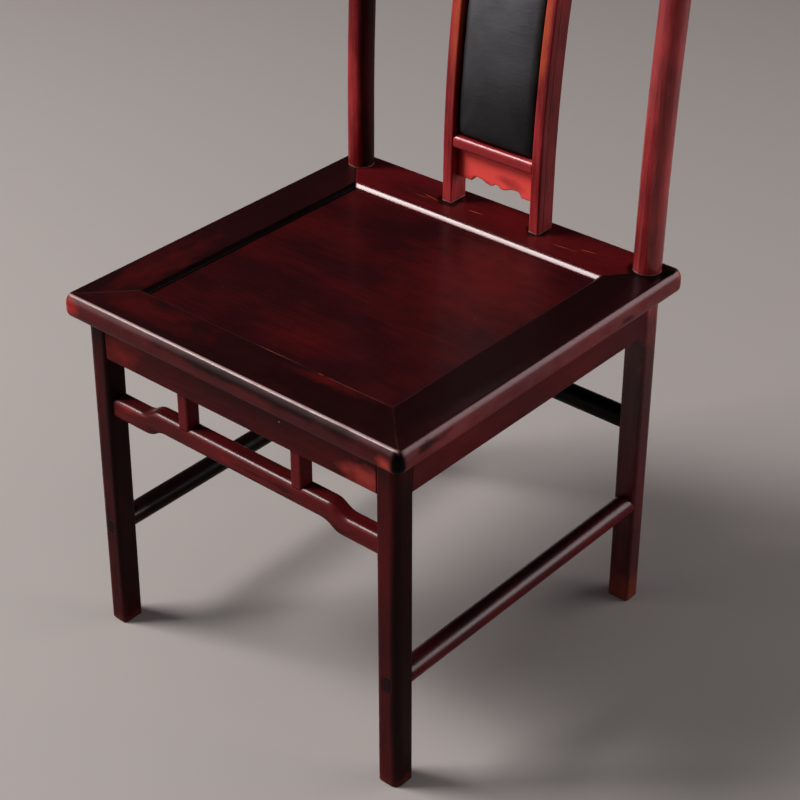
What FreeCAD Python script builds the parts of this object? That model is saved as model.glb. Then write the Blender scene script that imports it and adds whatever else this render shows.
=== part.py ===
import FreeCAD, Part
import math
import os

from FreeCAD import Vector

# An armless official hat chair: mitred seat frame on four legs, curved back posts, yoke-shaped
# crest rail and a framed splat with a padded leather panel. The chair stands on z = 0, its
# front looks along -Y, and every piece is held by mortise and tenon or by tongue and groove.
# Driving sizes, in millimetres.
seat_height = 450.0
seat_width = 483.2
seat_depth = 488.0
overall_height = 1010.0

# Seat frame: four mitred rails, grooved for the floating panel.
rail_thickness = 28.0
front_rail_width = 67.2
side_rail_width = 65.3
rear_rail_width = 77.0
frame_corner_round = 10.0
nose_radius = 16.0
nose_overhang = 5.0
nose_arris_round = 2.5
nose_under_round = 9.0
opening_bevel = 4.8
opening_ease = 5.5
mitre_tenon_width = 14.0
mitre_tenon_thickness = 8.0
mitre_tenon_reach = 27.0
mitre_tenon_setback = 4.0
mitre_tenon_rise = 4.0

# Seat panel and the two battens dovetailed under it.
panel_recess = 6.0
panel_thickness = 10.0
tongue_thickness = 5.0
tongue_reach = 7.0
panel_shrink_gap = 1.0
batten_width = 32.0
batten_height = 11.0
dovetail_depth = 3.0
dovetail_flare = 2.5
batten_tenon_reach = 12.0
batten_tenon_width = 16.0
batten_tenon_thickness = 6.0
batten_place_share = 0.27

# Legs: square inside, rounded outside. The rear pair runs on upwards as the back posts.
leg_size = 27.5
leg_outer_round = 10.0
leg_side_round = 4.5
leg_inner_round = 2.0
leg_side_inset = 17.6
leg_front_inset = 17.3
leg_rear_inset = 14.5
leg_splay_share = 0.014
front_splay_share = 0.007
foot_chamfer = 1.5
leg_tenon_size = 16.0
leg_tenon_reach = 18.0
neck_size = 20.0

# Back posts and crest rail.
post_diameter = 32.0
post_travel = 34.0
post_straight = 55.0
post_tenon_diameter = 18.0
post_tenon_reach = 12.0
crest_overhang = 46.0
crest_mid_height = 44.0
crest_mid_depth = 31.0
crest_post_height = 35.0
crest_post_depth = 34.0
crest_tip_diameter = 27.0
crest_mid_rise = 7.0
crest_tip_rise = 5.0

# Aprons under the frame.
apron_height = 47.0
apron_thickness = 14.0
apron_setback = 1.5
apron_edge_round = 2.5
apron_tongue_reach = 5.0
apron_tongue_thickness = 5.0
apron_tongue_margin = 6.0

# Humpback stretcher and its two struts.
hump_height = 25.0
hump_depth = 20.0
hump_setback = 4.5
hump_rise = 10.0
hump_step_start = 124.5
hump_step_end = 155.0
hump_step_lag = 8.5
hump_front_round = 6.0
hump_rear_round = 2.5
hump_tenon_thickness = 9.0
hump_tenon_height = 15.0
hump_tenon_reach = 15.0
hump_tenon_root = 3.0
strut_height = 43.5
strut_width = 16.0
strut_depth = 19.0
strut_place = 83.5
strut_setback = 5.0
strut_edge_round = 3.0
strut_tenon_size = 7.0
strut_tenon_reach = 9.0
strut_tenon_root = 1.0

# Round stretchers.
side_stretcher_diameter = 26.0
side_stretcher_height = 140.0
rear_stretcher_diameter = 26.0
rear_stretcher_height = 250.0
stretcher_tenon_thickness = 10.0
stretcher_tenon_height = 20.0
rear_tenon_reach = 16.0

# Splat: two curved stiles, two rails, a carved apron and the padded panel.
stile_width = 14.0
stile_depth = 28.0
stile_round = 2.0
stile_outer_face = 70.6
stile_front_setback = 42.7
stile_bead_place = 8.5
stile_bead_width = 1.2
stile_bead_depth = 0.8
stile_tenon_width = 8.0
stile_tenon_depth = 16.0
stile_foot_reach = 16.0
stile_head_reach = 10.0
splat_straight = 55.0
splat_inflection_travel = 17.3
splat_upper_travel = 24.65
splat_head_straight = 30.0
groove_setback = 12.0
groove_depth = 4.0
board_thickness = 8.0
lower_rail_bottom = 70.0
splat_rail_height = 16.0
splat_rail_depth = 20.0
splat_rail_setback = 1.0
splat_rail_nose = 5.0
splat_rail_back_round = 2.0
splat_rail_tenon_height = 8.0
splat_rail_tenon_depth = 8.0
splat_rail_tenon_reach = 7.0
carved_apron_depth = 38.0

# Padded leather panel over foam.
pad_edge_thickness = 6.5
pad_shoulder_thickness = 11.0
pad_crown_thickness = 13.0
pad_shoulder_width = 10.0
pad_side_gap = 0.6
pad_end_gap = 0.4
leather_thickness = 1.2

# Clearances.
joint_clearance = 0.1
groove_clearance = 0.15
scribe_clearance = 0.2
soft_clearance = 0.3
overrun = 5.0

# Shares and tables of shares.
# Height on the back at which the splat turns from its lower arc to its upper one.
splat_inflection_share = 0.539
# Crest rail: share of the half length between centre and post axis, of the bow, of the rise, and
# the blend from the section at the post (0) to the section in the middle (1).
crest_inner_shares = ((0.0, 1.0, 1.0, 1.0), (0.32, 0.86, 0.93, 0.86), (0.66, 0.42, 0.45, 0.32))
# Lower outline of the carved apron: share of the half width from the middle, share of the depth.
carved_outline_shares = (
    (0.0, 0.865), (0.055, 0.875), (0.09, 0.94), (0.17, 0.955), (0.25, 0.93),
    (0.36, 0.855), (0.45, 0.835), (0.56, 0.835), (0.60, 0.90), (0.64, 1.0), (1.0, 1.0),
)
# Padded panel: share of its height, then shares of its thickness and half width at that height.
pad_station_shares = (
    (0.0, 0.30, 0.985), (0.012, 0.66, 0.99), (0.035, 0.90, 0.993), (0.09, 1.0, 0.996), (0.30, 1.0, 1.0),
    (0.50, 1.0, 1.0), (0.70, 1.0, 1.0), (0.91, 1.0, 0.996), (0.965, 0.90, 0.993), (0.988, 0.66, 0.99),
    (1.0, 0.30, 0.985),
)

# Derived places.
half_width = seat_width / 2
half_depth = seat_depth / 2
frame_bottom = seat_height - rail_thickness
opening_x = half_width - side_rail_width
opening_front = -half_depth + front_rail_width
opening_rear = half_depth - rear_rail_width
leg_half = leg_size / 2
leg_x = half_width - leg_side_inset - leg_half
front_leg_y = -half_depth + leg_front_inset + leg_half
rear_leg_y = half_depth - leg_rear_inset - leg_half
panel_top = seat_height - panel_recess
panel_bottom = panel_top - panel_thickness
tongue_bottom = panel_bottom + (panel_thickness - tongue_thickness) / 2
batten_x = seat_width * batten_place_share / 2
apron_bottom = frame_bottom - apron_height
hump_top = apron_bottom - strut_height
hump_front = front_leg_y - leg_half + hump_setback
strut_front = front_leg_y - leg_half + strut_setback
stile_front = half_depth - stile_front_setback
stile_inner_face = stile_outer_face - stile_width
stile_x = stile_outer_face - stile_width / 2
groove_bottom_x = stile_inner_face + groove_depth
crest_mid_z = overall_height - crest_mid_height / 2
crest_mid_bottom = crest_mid_z - crest_mid_height / 2
crest_post_z = crest_mid_z - crest_mid_rise
lower_rail_z = seat_height + lower_rail_bottom
upper_rail_z = crest_mid_bottom - splat_rail_height
post_bend_z = seat_height + post_straight
back_rise = crest_post_z - post_bend_z
post_radius_of_bend = (back_rise ** 2 + post_travel ** 2) / (2 * post_travel)


def box(x0, x1, y0, y1, z0, z1):
    return Part.makeBox(x1 - x0, y1 - y0, z1 - z0, Vector(x0, y0, z0))


def centred_box(x, y, z, size_x, size_y, size_z):
    return box(x - size_x / 2, x + size_x / 2, y - size_y / 2, y + size_y / 2,
               z - size_z / 2, z + size_z / 2)


def grown(block, clearance):
    """A cutter for the mortise of a box-shaped tenon, larger by the clearance all round."""
    b = block.BoundBox
    return box(b.XMin - clearance, b.XMax + clearance, b.YMin - clearance, b.YMax + clearance,
               b.ZMin - clearance, b.ZMax + clearance)


def polygon(points):
    return Part.Face(Part.makePolygon(list(points) + [points[0]]))


def rectangle(x0, x1, y0, y1, z):
    return polygon([Vector(x0, y0, z), Vector(x1, y0, z), Vector(x1, y1, z), Vector(x0, y1, z)])


def disc(x, y, z, diameter):
    return Part.Face(Part.Wire([Part.makeCircle(diameter / 2, Vector(x, y, z))]))


def line(x0, z0, x1, z1):
    return Part.LineSegment(Vector(x0, 0, z0), Vector(x1, 0, z1)).toShape()


def mirrored(shape):
    return shape.mirror(Vector(0, 0, 0), Vector(1, 0, 0))


def mirrored_front(shape):
    return shape.mirror(Vector(0, 0, 0), Vector(0, 1, 0))


def both_sides(shape):
    return [shape, mirrored(shape)]


def biggest(shape):
    return max(shape.Solids, key=lambda solid: solid.Volume)


def rounded_section(x0, x1, y0, y1, z, rounds):
    """Flat rectangle whose corners, from (x0, y0) on round, have the given radii."""
    corners = ((x0, y0, 0, 1), (x1, y0, -1, 0), (x1, y1, 0, -1), (x0, y1, 1, 0))
    turns = ((1, 0), (0, 1), (-1, 0), (0, -1))
    bulge_share = 1 - math.sqrt(0.5)
    edges = []
    starts = []
    for (x, y, in_x, in_y), (out_x, out_y), r in zip(corners, turns, rounds):
        first = Vector(x + in_x * r, y + in_y * r, z)
        last = Vector(x + out_x * r, y + out_y * r, z)
        centre = Vector(x + (in_x + out_x) * r, y + (in_y + out_y) * r, z)
        middle = Vector(x, y, z) + (centre - Vector(x, y, z)) * bulge_share
        starts.append((first, last))
        edges.append(Part.Arc(first, middle, last).toShape())
    for index, (first, last) in enumerate(starts):
        following = starts[(index + 1) % len(starts)][0]
        edges.append(Part.LineSegment(last, following).toShape())
    return Part.Face(Part.Wire(Part.__sortEdges__(edges)))


def long_edges(shape, axis, test):
    """Straight edges along an axis whose middle passes a test."""
    chosen = []
    for edge in shape.Edges:
        ends = edge.Vertexes[-1].Point - edge.Vertexes[0].Point
        along = abs(ends[axis])
        middle = edge.BoundBox.Center
        if len(edge.Vertexes) == 2 and along > ends.Length - joint_clearance and test(middle):
            chosen.append(edge)
    return chosen


def post_y(z):
    """Middle of a back post at a height: upright at first, then one long arc backwards."""
    rise = max(z - post_bend_z, 0)
    return rear_leg_y + post_radius_of_bend - math.sqrt(post_radius_of_bend ** 2 - rise ** 2)


# The splat rises straight, bends back along one arc, up again along a second one, and ends in
# a straight head inside the crest rail.
splat_start_z = seat_height + splat_straight
splat_inflection_rise = (crest_mid_z - seat_height) * splat_inflection_share
splat_arc_rise = splat_inflection_rise - splat_straight
splat_low_radius = (splat_arc_rise ** 2 + splat_inflection_travel ** 2) / (2 * splat_inflection_travel)
splat_low_turn = math.asin(splat_arc_rise / splat_low_radius)
splat_head_z = crest_mid_z - splat_head_straight
splat_high_rise = splat_head_z - seat_height - splat_inflection_rise
splat_high_turn = 2 * (splat_low_turn - math.atan2(splat_upper_travel, splat_high_rise))
splat_head_turn = splat_low_turn - splat_high_turn
splat_high_radius = splat_high_rise / (math.sin(splat_low_turn) - math.sin(splat_head_turn))
splat_centre_y = stile_front + splat_low_radius
splat_bend_y = stile_front + splat_inflection_travel
splat_bend_z = seat_height + splat_inflection_rise
splat_high_y = splat_bend_y - splat_high_radius * math.cos(splat_low_turn)
splat_high_z = splat_bend_z + splat_high_radius * math.sin(splat_low_turn)


def splat_y(z):
    """Front face of the stiles at a height."""
    if z <= splat_bend_z:
        return splat_centre_y - math.sqrt(splat_low_radius ** 2 - max(z - splat_start_z, 0) ** 2)
    curved_z = min(z, splat_head_z)
    curved_y = splat_high_y + math.sqrt(splat_high_radius ** 2 - (curved_z - splat_high_z) ** 2)
    return curved_y + (z - curved_z) * math.tan(splat_head_turn)


def swept_up_splat(section):
    """Sweep a flat section that lies on the seat along the whole line of the splat."""
    straight = section.extrude(Vector(0, 0, splat_straight))
    section = section.translated(Vector(0, 0, splat_straight))
    foot_axis = Vector(0, splat_centre_y, splat_start_z)
    head_axis = Vector(0, splat_high_y, splat_high_z)
    low = section.revolve(foot_axis, Vector(-1, 0, 0), math.degrees(splat_low_turn))
    joint = section.copy()
    joint.rotate(foot_axis, Vector(-1, 0, 0), math.degrees(splat_low_turn))
    high = joint.revolve(head_axis, Vector(1, 0, 0), math.degrees(splat_high_turn))
    joint.rotate(head_axis, Vector(1, 0, 0), math.degrees(splat_high_turn))
    head = joint.extrude(Vector(0, math.tan(splat_head_turn), 1) * splat_head_straight)
    return straight.fuse([low, high, head])


def swept_up_post(section):
    """Sweep a section that lies on the seat straight up and along the arc of a back post."""
    straight = section.extrude(Vector(0, 0, post_straight))
    axis = Vector(0, rear_leg_y + post_radius_of_bend, post_bend_z)
    turn = math.degrees(math.asin(back_rise / post_radius_of_bend))
    raised = section.translated(Vector(0, 0, post_straight))
    return straight.fuse(raised.revolve(axis, Vector(-1, 0, 0), turn))


crest_tip_x = leg_x + crest_overhang
crest_post_y = post_y(crest_post_z)
crest_mid_y = splat_y(crest_mid_z) + stile_depth / 2


def upright_ellipse(x, y, z, depth, height):
    ring = Part.Ellipse(Vector(0, 0, 0), height / 2, depth / 2).toShape()
    ring.rotate(Vector(0, 0, 0), Vector(0, 1, 0), -90)
    ring.translate(Vector(x, y, z))
    return Part.Wire([ring])


def crest_solid(clearance):
    """Loft through upright ellipses, with half a ball at each tip, grown by a clearance."""
    stations = []
    for along_share, bow_share, rise_share, blend_share in crest_inner_shares:
        stations.append((
            leg_x * along_share,
            crest_post_y + (crest_mid_y - crest_post_y) * bow_share,
            crest_post_z + crest_mid_rise * rise_share,
            crest_post_depth + (crest_mid_depth - crest_post_depth) * blend_share,
            crest_post_height + (crest_mid_height - crest_post_height) * blend_share))
    stations.append((leg_x, crest_post_y, crest_post_z, crest_post_depth, crest_post_height))
    tip_y = crest_post_y + (crest_mid_y - crest_post_y) * crest_overhang / leg_x
    tip_z = crest_post_z + crest_tip_rise
    stations.append((crest_tip_x, tip_y, tip_z, crest_tip_diameter, crest_tip_diameter))
    left = [(-x, y, z, depth, height) for x, y, z, depth, height in reversed(stations[1:])]
    rings = [upright_ellipse(x, y, z, depth + clearance * 2, height + clearance * 2)
             for x, y, z, depth, height in left + stations]
    rail = Part.makeLoft(rings, True, False)
    for side in (-1, 1):
        dome = Part.makeSphere(crest_tip_diameter / 2 + clearance, Vector(side * crest_tip_x, tip_y, tip_z),
                               Vector(side, 0, 0), 0, 90, 360)
        rail = rail.fuse(dome)
    return rail


def leg_prism(rear):
    """Right-hand leg from the floor to the underside of the frame, with its slight splay."""
    out_x = leg_splay_share * frame_bottom
    out_y = 0 if rear else -front_splay_share * frame_bottom
    x, y = leg_x + out_x, (rear_leg_y if rear else front_leg_y) + out_y
    rounds = [leg_side_round, leg_outer_round, leg_side_round, leg_inner_round]
    if rear:
        rounds = [leg_inner_round, leg_side_round, leg_outer_round, leg_side_round]
    section = rounded_section(x - leg_half, x + leg_half, y - leg_half, y + leg_half, 0, rounds)
    leg = section.extrude(Vector(-out_x, -out_y, frame_bottom))
    foot = [edge for edge in leg.Edges if edge.BoundBox.ZMax < joint_clearance]
    return leg.makeChamfer(foot_chamfer, foot)


def square_leg(rear):
    """The same leg with sharp corners, against which the aprons are cut off."""
    out_x = leg_splay_share * frame_bottom
    out_y = 0 if rear else -front_splay_share * frame_bottom
    x, y = leg_x + out_x, (rear_leg_y if rear else front_leg_y) + out_y
    foot = rectangle(x - leg_half, x + leg_half, y - leg_half, y + leg_half, 0)
    return foot.extrude(Vector(-out_x, -out_y, frame_bottom))


front_leg_blank = leg_prism(False)
rear_leg_blank = leg_prism(True)
leg_blanks = Part.makeCompound(both_sides(front_leg_blank) + both_sides(rear_leg_blank))
square_legs = Part.makeCompound(both_sides(square_leg(False)) + both_sides(square_leg(True)))
crest_blank = crest_solid(0)
crest_cutter = crest_solid(scribe_clearance)
crest_right_cutter = crest_cutter.common(
    box(0, crest_tip_x, 0, half_depth * 2, seat_height, overall_height + overrun))


def nose_section(x):
    """Flat face at the front, of all that lies outside the rounded nose of the frame."""
    def on_round(radius, z, angle):
        return Vector(x, radius * (1 - math.sin(angle)) - half_depth, z + radius * math.cos(angle))

    arris_angle = math.asin(1 - nose_overhang / nose_radius)
    level, down = math.pi / 2, math.pi
    nose_z = seat_height - nose_radius * math.cos(arris_angle)
    under_z = frame_bottom + nose_under_round
    top, bottom = seat_height + overrun, frame_bottom - overrun
    arris = on_round(nose_radius, nose_z, arris_angle)
    shoulder = on_round(nose_radius, nose_z, level)
    belly = on_round(nose_under_round, under_z, level)
    heel = on_round(nose_under_round, under_z, down)
    corners = [heel, Vector(x, heel.y, bottom), Vector(x, -half_depth - overrun, bottom),
               Vector(x, -half_depth - overrun, top), Vector(x, arris.y, top), arris]
    edges = [Part.Arc(arris, on_round(nose_radius, nose_z, (arris_angle + level) / 2), shoulder),
             Part.LineSegment(shoulder, belly),
             Part.Arc(belly, on_round(nose_under_round, under_z, (level + down) / 2), heel)]
    edges += [Part.LineSegment(first, last) for first, last in zip(corners, corners[1:])]
    return Part.Face(Part.Wire([edge.toShape() for edge in edges]))


def nose_cutters():
    """The section run along the sides of the frame and turned round its four corners."""
    turn_x, turn_y = half_width - frame_corner_round, frame_corner_round - half_depth
    section = nose_section(turn_x)
    axis = Vector(turn_x, turn_y, 0)
    side_section = section.copy()
    side_section.rotate(axis, Vector(0, 0, 1), 90)
    front = section.extrude(Vector(-turn_x * 2, 0, 0))
    right = side_section.extrude(Vector(0, -turn_y * 2, 0))
    corner = section.revolve(axis, Vector(0, 0, 1), 90)
    return [front, mirrored_front(front)] + both_sides(right) + both_sides(corner) + \
        both_sides(mirrored_front(corner))


def frame_ring():
    """The whole seat frame before it is parted at its mitres."""
    margin = overrun / 2
    ring = rounded_section(-half_width - margin, half_width + margin, -half_depth - margin,
                           half_depth + margin, frame_bottom, [frame_corner_round + margin] * 4)
    ring = ring.extrude(Vector(0, 0, rail_thickness)).cut(nose_cutters())
    top = [edge for edge in ring.Edges if edge.BoundBox.ZMin > seat_height - joint_clearance]
    ring = ring.makeFillet(nose_arris_round, top)
    ring = ring.cut(box(-opening_x, opening_x, opening_front, opening_rear,
                        frame_bottom - overrun, seat_height + overrun))

    def in_opening(p):
        return abs(p.x) < opening_x + joint_clearance and \
            opening_front - joint_clearance < p.y < opening_rear + joint_clearance

    def in_bevel(p):
        return abs(p.x) < opening_x + opening_bevel + joint_clearance and \
            opening_front - opening_bevel - joint_clearance < p.y < \
            opening_rear + opening_bevel + joint_clearance

    rim = [edge for edge in ring.Edges
           if edge.BoundBox.ZMin > seat_height - joint_clearance and in_opening(edge.BoundBox.Center)]
    ring = ring.makeChamfer(opening_bevel, rim)
    brim = [edge for edge in ring.Edges
            if edge.BoundBox.ZMin > seat_height - joint_clearance and in_bevel(edge.BoundBox.Center)]
    ring = ring.makeFillet(opening_ease, brim)
    groove_reach = tongue_reach + panel_shrink_gap
    ring = ring.cut(box(-opening_x - groove_reach, opening_x + groove_reach,
                        opening_front - groove_reach, opening_rear + groove_reach,
                        tongue_bottom - groove_clearance,
                        tongue_bottom + tongue_thickness + groove_clearance))
    return ring


def mitre_wedge(corner):
    """Upright wedge that bounds one rail, between the mitres at a corner and at the next one."""
    outer = ((-half_width, -half_depth), (half_width, -half_depth),
             (half_width, half_depth), (-half_width, half_depth))
    inner = ((-opening_x, opening_front), (opening_x, opening_front),
             (opening_x, opening_rear), (-opening_x, opening_rear))
    points = []
    for index in (corner, (corner + 1) % len(outer)):
        far = Vector(*outer[index], frame_bottom - overrun)
        near = Vector(*inner[index], frame_bottom - overrun)
        stretch = (far - near).normalize() * overrun
        points.append((near - stretch, far + stretch))
    outline = [points[0][0], points[0][1], points[1][1], points[1][0]]
    return polygon(outline).extrude(Vector(0, 0, rail_thickness + overrun * 2))


def mitre_tenon(rear):
    """Right-hand tenon of the front or rear rail, which enters the side rail beside the leg."""
    z = frame_bottom + mitre_tenon_rise
    if rear:
        y = opening_rear + mitre_tenon_setback
    else:
        y = opening_front - mitre_tenon_setback - mitre_tenon_width
    return box(opening_x, opening_x + mitre_tenon_reach, y, y + mitre_tenon_width,
               z, z + mitre_tenon_thickness)


def leg_top_tenon():
    return centred_box(leg_x, front_leg_y, frame_bottom + leg_tenon_reach / 2,
                       leg_tenon_size, leg_tenon_size, leg_tenon_reach)


def post_neck():
    """Square neck between rear leg and back post, right through the frame."""
    return centred_box(leg_x, rear_leg_y, frame_bottom + rail_thickness / 2,
                       neck_size, neck_size, rail_thickness)


def stile_foot():
    return centred_box(stile_x, stile_front + stile_depth / 2, seat_height - stile_foot_reach / 2,
                       stile_tenon_width, stile_tenon_depth, stile_foot_reach)


def batten_tongue(x):
    """Flat bar through a whole batten, whose two ends are its tenons."""
    return box(x - batten_tenon_width / 2, x + batten_tenon_width / 2,
               opening_front - batten_tenon_reach, opening_rear + batten_tenon_reach,
               panel_bottom - (batten_height + batten_tenon_thickness) / 2,
               panel_bottom - (batten_height - batten_tenon_thickness) / 2)


def seat_rails():
    """Four mitred rails with their corner tenons, cut for legs, posts, stiles and battens."""
    ring = frame_ring()
    rails = {side: ring.common(mitre_wedge(corner))
             for corner, side in enumerate(("front", "right", "rear"))}
    for name, rear in (("front", False), ("rear", True)):
        rails[name] = rails[name].fuse(both_sides(mitre_tenon(rear)))
        rails["right"] = rails["right"].cut(grown(mitre_tenon(rear), joint_clearance))
    tenons = []
    for tenon in (leg_top_tenon(), post_neck(), stile_foot(), batten_tongue(batten_x)):
        tenons += both_sides(tenon)
    tool = Part.makeCompound([grown(tenon, joint_clearance) for tenon in tenons])
    pieces = {"seat_rail_" + name: rail.cut(tool).removeSplitter() for name, rail in rails.items()}
    pieces["seat_rail_left"] = mirrored(pieces["seat_rail_right"])
    return pieces


def dovetail_key(clearance):
    """Dovetail of the right-hand batten, wider at its top, as long as the opening."""
    low = batten_width / 2 - dovetail_flare + clearance
    high = batten_width / 2 + clearance
    top = panel_bottom + dovetail_depth + clearance
    outline = [Vector(batten_x - low, opening_front, panel_bottom),
               Vector(batten_x + low, opening_front, panel_bottom),
               Vector(batten_x + high, opening_front, top),
               Vector(batten_x - high, opening_front, top)]
    return polygon(outline).extrude(Vector(0, opening_rear - opening_front, 0))


def seat_panel():
    """Floating panel: its tongue runs in the frame's groove, and two dovetail slots lie below."""
    gap = groove_clearance
    panel = box(-opening_x + gap, opening_x - gap, opening_front + gap, opening_rear - gap,
                panel_bottom, panel_top)
    panel = panel.fuse(box(-opening_x - tongue_reach, opening_x + tongue_reach,
                           opening_front - tongue_reach, opening_rear + tongue_reach,
                           tongue_bottom, tongue_bottom + tongue_thickness))
    for key in both_sides(dovetail_key(groove_clearance)):
        panel = panel.cut(key)
    return panel.removeSplitter()


def seat_batten():
    low = batten_width / 2 - dovetail_flare
    batten = box(batten_x - low, batten_x + low, opening_front, opening_rear,
                 panel_bottom - batten_height, panel_bottom)
    return batten.fuse([dovetail_key(0), batten_tongue(batten_x)]).removeSplitter()


def crosswise_apron(inset):
    """Front or rear apron, made for the rear: the board, and a tongue through its whole length."""
    outer = half_depth - inset - apron_setback
    board = box(-leg_x, leg_x, outer - apron_thickness, outer, apron_bottom, frame_bottom)
    low = long_edges(board, 0, lambda p: p.z < apron_bottom + joint_clearance)
    reach = leg_x - leg_half + apron_tongue_reach
    tongue = centred_box(0, outer - apron_thickness / 2, apron_bottom + apron_height / 2,
                         reach * 2, apron_tongue_thickness, apron_height - apron_tongue_margin * 2)
    return board.makeFillet(apron_edge_round, low), tongue


def side_apron():
    """Right-hand apron: the board, and a tongue through its whole length."""
    outer = half_width - leg_side_inset - apron_setback
    board = box(outer - apron_thickness, outer, front_leg_y, rear_leg_y, apron_bottom, frame_bottom)
    low = long_edges(board, 1, lambda p: p.z < apron_bottom + joint_clearance)
    length = rear_leg_y - front_leg_y - leg_size + apron_tongue_reach * 2
    tongue = centred_box(outer - apron_thickness / 2, (front_leg_y + rear_leg_y) / 2,
                         apron_bottom + apron_height / 2,
                         apron_tongue_thickness, length, apron_height - apron_tongue_margin * 2)
    return board.makeFillet(apron_edge_round, low), tongue


def aprons():
    """The four aprons by name, and the cutters for their grooves in the legs."""
    front = [mirrored_front(shape) for shape in crosswise_apron(leg_front_inset)]
    left = [mirrored(shape) for shape in side_apron()]
    made = {"front": front, "rear": crosswise_apron(leg_rear_inset), "right": side_apron(), "left": left}
    pieces = {"apron_" + side: board.cut(square_legs).fuse(tongue).removeSplitter()
              for side, (board, tongue) in made.items()}
    strut_holes = [grown(tenon, joint_clearance) for tenon in both_sides(strut_tenons()[1])]
    pieces["apron_front"] = pieces["apron_front"].cut(strut_holes)
    return pieces, [grown(tongue, joint_clearance) for board, tongue in made.values()]


def s_curve(x0, z0, x1, z1):
    """Two equal arcs that leave and arrive level."""
    mid = Vector((x0 + x1) / 2, 0, (z0 + z1) / 2)
    a, b = Vector(x0, 0, z0), Vector(x1, 0, z1)
    run, rise = abs(x1 - x0) / 2, abs(z1 - z0) / 2
    radius = (run ** 2 + rise ** 2) / (2 * rise)
    turn = math.asin(run / radius) / 2
    way_x = 1 if x1 > x0 else -1
    way_z = 1 if z1 > z0 else -1
    dx, dz = radius * math.sin(turn), radius * (1 - math.cos(turn))
    first = Part.Arc(a, a + Vector(way_x * dx, 0, way_z * dz), mid).toShape()
    second = Part.Arc(mid, b - Vector(way_x * dx, 0, way_z * dz), b).toShape()
    return [first, second]


def humpback_outline():
    """Closed outline of the bar between the front legs, seen from the front."""
    high, low = hump_top, hump_top - hump_rise
    under_high, under_low = high - hump_height, low - hump_height
    inner, outer = hump_step_start, hump_step_end
    under_inner, under_outer = inner - hump_step_lag, outer - hump_step_lag
    edges = [line(-leg_x, low, -outer, low)]
    edges += s_curve(-outer, low, -inner, high)
    edges.append(line(-inner, high, inner, high))
    edges += s_curve(inner, high, outer, low)
    edges += [line(outer, low, leg_x, low), line(leg_x, low, leg_x, under_low)]
    edges.append(line(leg_x, under_low, under_outer, under_low))
    edges += s_curve(under_outer, under_low, under_inner, under_high)
    edges.append(line(under_inner, under_high, -under_inner, under_high))
    edges += s_curve(-under_inner, under_high, -under_outer, under_low)
    edges += [line(-under_outer, under_low, -leg_x, under_low), line(-leg_x, under_low, -leg_x, low)]
    return Part.Face(Part.Wire(Part.__sortEdges__(edges)))


def humpback_bar():
    """The whole bar, rounded towards the front. It is cut off at the legs later."""
    face = humpback_outline()
    face.translate(Vector(0, hump_front, 0))
    bar = face.extrude(Vector(0, hump_depth, 0))
    for y, radius in ((hump_front, hump_front_round), (hump_front + hump_depth, hump_rear_round)):
        rim = [edge for edge in bar.Edges
               if abs(edge.BoundBox.YMin - y) < joint_clearance
               and abs(edge.BoundBox.YMax - y) < joint_clearance
               and abs(edge.BoundBox.Center.x) < leg_x - joint_clearance]
        bar = bar.makeFillet(radius, rim)
    return bar


def humpback_tenon():
    """Right-hand tenon of the humpback stretcher."""
    shoulder = leg_x - leg_half - hump_tenon_root
    return box(shoulder, leg_x - leg_half + hump_tenon_reach,
               hump_front + (hump_depth - hump_tenon_thickness) / 2,
               hump_front + (hump_depth + hump_tenon_thickness) / 2,
               hump_top - hump_rise - (hump_height + hump_tenon_height) / 2,
               hump_top - hump_rise - (hump_height - hump_tenon_height) / 2)


def strut_tenons():
    """Lower and upper stub tenon of the right-hand strut."""
    middle_y = strut_front + strut_depth / 2
    apron_middle = -half_depth + leg_front_inset + apron_setback + apron_thickness / 2
    height = strut_tenon_reach + strut_tenon_root
    low = centred_box(strut_place, middle_y, hump_top + strut_tenon_root - height / 2,
                      strut_tenon_size, strut_tenon_size, height)
    high = centred_box(strut_place, apron_middle, apron_bottom - strut_tenon_root + height / 2,
                       strut_tenon_size, strut_tenon_size, height)
    return low, high


def strut(bar):
    """Right-hand short post, scribed to the rounded stretcher and square to the apron."""
    start = hump_top - hump_height / 2
    rounds = [strut_edge_round] * 4
    section = rounded_section(strut_place - strut_width / 2, strut_place + strut_width / 2,
                              strut_front, strut_front + strut_depth, start, rounds)
    body = section.extrude(Vector(0, 0, apron_bottom - start))
    return biggest(body.cut(bar)).fuse(list(strut_tenons())).removeSplitter()


def round_bar(start, end, diameter):
    along = end - start
    return Part.makeCylinder(diameter / 2, along.Length, start, along)


def side_stretcher():
    """Round bar between the right-hand legs. Its tenons go right through them."""
    z = side_stretcher_height
    x = leg_x + leg_splay_share * (frame_bottom - z)
    bar = round_bar(Vector(x, front_leg_y, z), Vector(x, rear_leg_y, z), side_stretcher_diameter)
    tenon = box(x - stretcher_tenon_thickness / 2, x + stretcher_tenon_thickness / 2,
                -half_depth, half_depth, z - stretcher_tenon_height / 2, z + stretcher_tenon_height / 2)
    return bar, tenon


def rear_stretcher():
    """Round bar between the rear legs, with stopped tenons."""
    z = rear_stretcher_height
    x = leg_x + leg_splay_share * (frame_bottom - z)
    bar = round_bar(Vector(-x, rear_leg_y, z), Vector(x, rear_leg_y, z), rear_stretcher_diameter)
    tenon = centred_box(0, rear_leg_y, z, (x - leg_half + rear_tenon_reach) * 2,
                        stretcher_tenon_thickness, stretcher_tenon_height)
    return bar, tenon


def splat_slab(front_offset, thickness, half_span):
    """A slab behind the front of the stiles that follows the curve of the splat."""
    front = stile_front + front_offset
    return swept_up_splat(rectangle(-half_span, half_span, front, front + thickness, seat_height))


def height_band(z0, z1):
    return box(-half_width, half_width, 0, half_depth * 2, z0, z1)


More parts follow.
